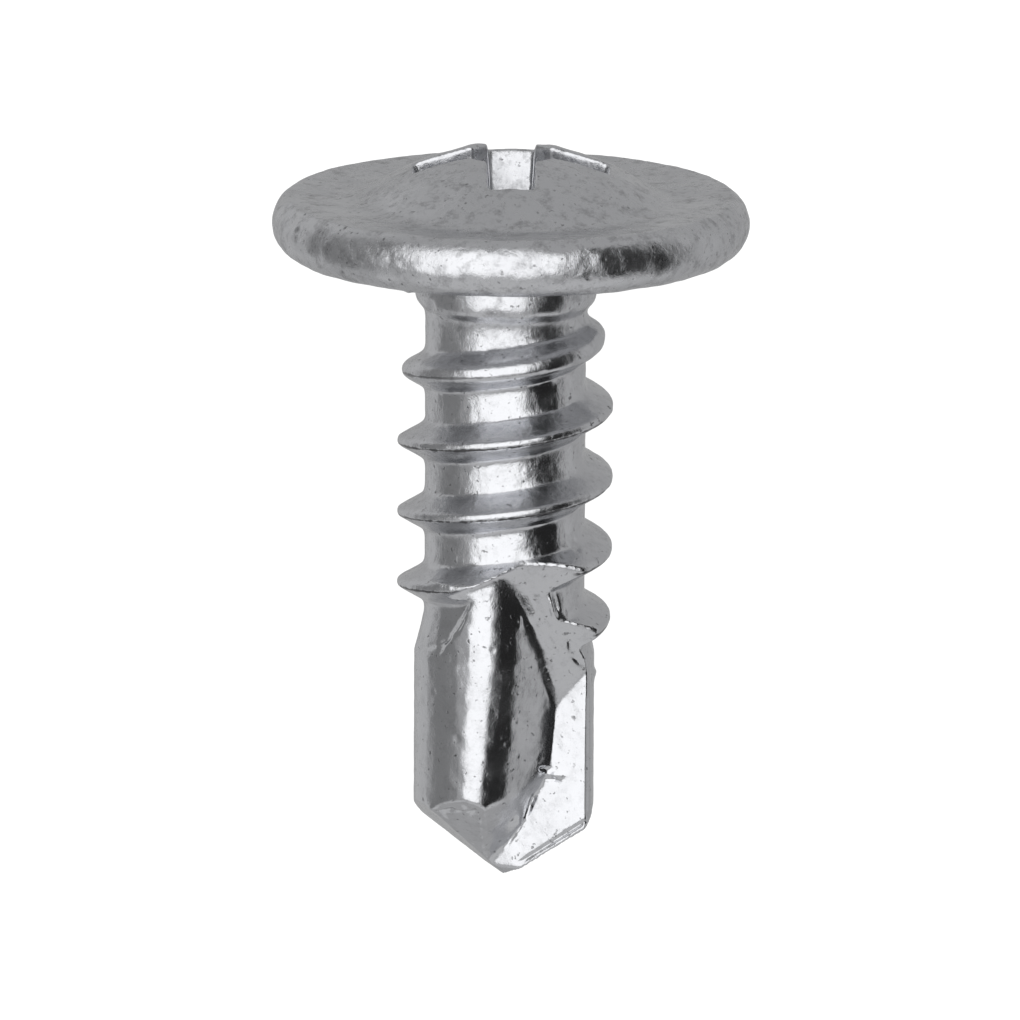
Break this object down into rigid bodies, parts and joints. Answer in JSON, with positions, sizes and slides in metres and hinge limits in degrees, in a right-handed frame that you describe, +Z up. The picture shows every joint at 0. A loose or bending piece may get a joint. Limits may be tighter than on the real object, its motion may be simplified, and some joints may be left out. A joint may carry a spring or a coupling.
{
  "type": "self-drilling screw",
  "caption": "Self-drilling sheet metal screw with a wide rounded flange head, cross recess, spaced thread and a fluted drill point.",
  "frame": {"origin": "on the ground under the middle of the screw as it lies, at the centre of its footprint", "axes": "+Z up; the screw lies on its head's rim and the two outer corners of its drill point, its head towards +Y and its point towards -Y, its shank 16.1 degrees from level"},
  "size_m": [0.0092, 0.0142, 0.0089],
  "materials": {
    "zinc_plated_steel": "bright zinc plating over rolled steel, with small pits"
  },
  "bodies": {
    "root": {"screw": "zinc_plated_steel"}
  },
  "joints": []
}
